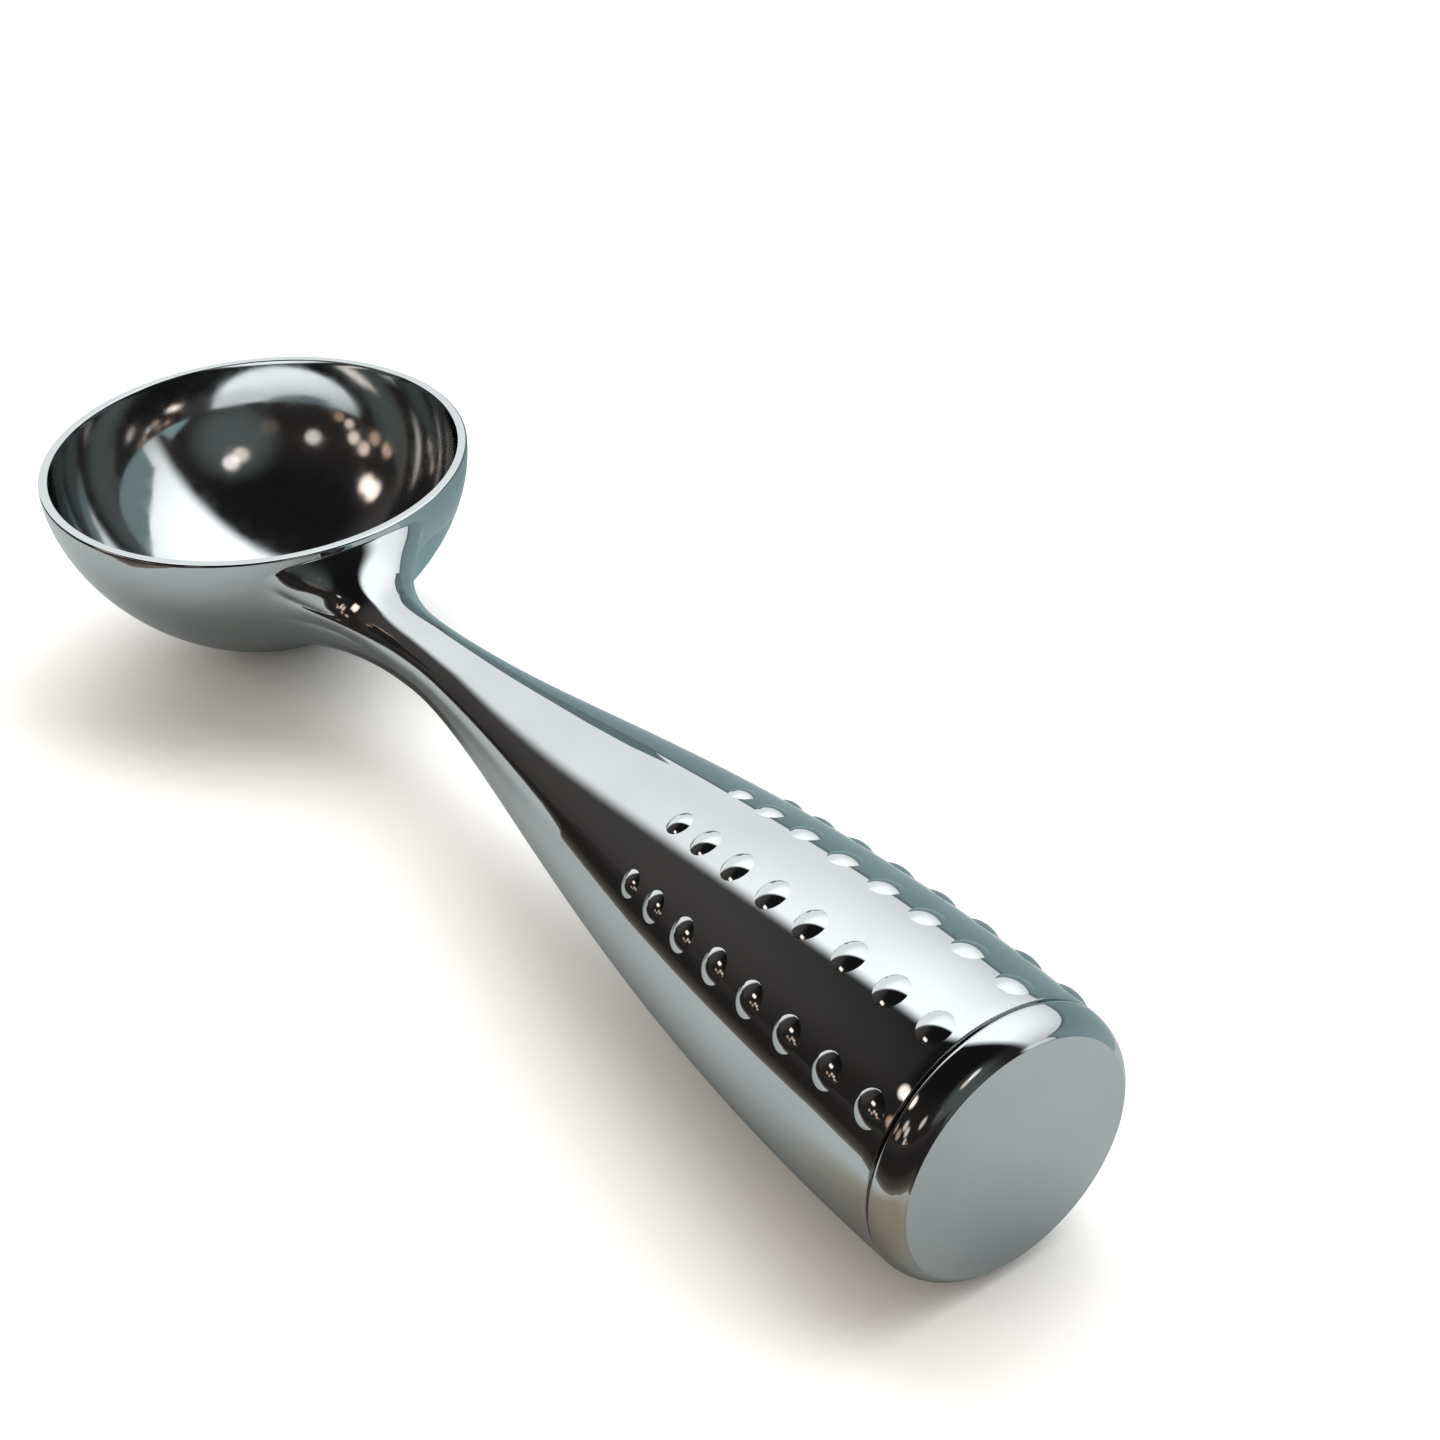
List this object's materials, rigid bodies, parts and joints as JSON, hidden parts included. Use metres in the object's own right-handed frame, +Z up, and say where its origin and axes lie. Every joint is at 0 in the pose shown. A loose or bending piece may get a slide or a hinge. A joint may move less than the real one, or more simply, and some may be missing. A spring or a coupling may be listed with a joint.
{
  "type": "ice cream scoop",
  "caption": "Rigid dipping scoop: round bowl with a flared neck, tapered round grip with raised domes, and a closing end cap.",
  "frame": {"origin": "on the ground under the middle of the scoop's length", "axes": "+X along the grip towards the end cap, +Y across, +Z up from the ground that the bowl and grip rest on"},
  "size_m": [0.1918, 0.06, 0.031],
  "materials": {
    "chrome_plate": "polished",
    "cap_plate": "polished band, satin end face",
    "seal_rubber": "matte"
  },
  "bodies": {
    "root": {"casting": "chrome_plate", "end_cap": "cap_plate", "seal_ring": "seal_rubber"}
  },
  "joints": []
}
